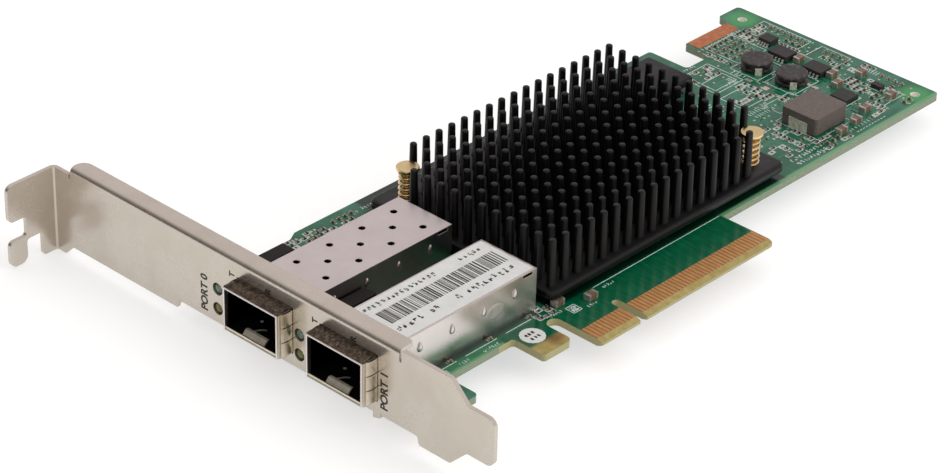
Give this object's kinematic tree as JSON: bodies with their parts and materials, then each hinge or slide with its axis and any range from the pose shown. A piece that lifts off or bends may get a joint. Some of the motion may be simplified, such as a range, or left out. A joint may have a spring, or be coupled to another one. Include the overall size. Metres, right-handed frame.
{
  "type": "fibre channel adapter",
  "caption": "Low-profile plug-in card with a full-height folded bracket, optical module cages, a black pin-fin heat sink on spring-loaded push-pins and a keyed edge connector.",
  "frame": {"origin": "middle of the key notch at the tip of the edge tab, on the board's component face", "axes": "+X from the bracket to the board's rear, +Y from the edge contacts to the top edge, +Z out of the component side"},
  "size_m": [0.1794, 0.1201, 0.0208],
  "materials": {
    "laminate": "green solder mask",
    "gold_plate": "plated contacts",
    "copper_plate": "plated strip",
    "anodised": "black anodised",
    "bracket_steel": "nickel plated",
    "cage_steel": "plated sheet",
    "spring_steel": "bright wire",
    "fastener": "plated",
    "push_brass": "turned",
    "black_moulding": "moulded",
    "chip_moulding": "moulded",
    "green_lens": "diffusing",
    "yellow_lens": "diffusing",
    "paper": "matt",
    "ferrite": "matt",
    "chip_ceramic": "matt",
    "tin": "tinned",
    "gap_filler": "soft pad"
  },
  "bodies": {
    "root": {"circuit_board": "laminate", "edge_contacts": "gold_plate", "ground_strip": "copper_plate", "heat_sink": "anodised", "controller_chip": "chip_moulding", "thermal_pad": "gap_filler", "push_pin_front": "push_brass", "push_pin_rear": "push_brass", "spring_front": "spring_steel", "spring_rear": "spring_steel", "bracket": "bracket_steel", "bracket_spacers": "fastener", "bracket_screws": "fastener", "cage_shell_0": "cage_steel", "cage_shell_1": "cage_steel", "cage_floor_0": "cage_steel", "cage_floor_1": "cage_steel", "emi_collar_0": "cage_steel", "emi_collar_1": "cage_steel", "port_connector_0": "black_moulding", "port_connector_1": "black_moulding", "led_housing_0": "black_moulding", "led_housing_1": "black_moulding", "link_lens_0": "green_lens", "link_lens_1": "green_lens", "activity_lens_0": "yellow_lens", "activity_lens_1": "yellow_lens", "cage_label": "paper", "round_sticker": "paper", "inductor_upper": "ferrite", "inductor_lower": "ferrite", "inductor_square": "ferrite", "inductor_terminals": "tin", "regulator_bodies": "chip_moulding", "regulator_leads": "tin", "capacitor_bodies": "chip_ceramic", "capacitor_ends": "tin", "small_chips": "chip_ceramic"}
  },
  "joints": []
}
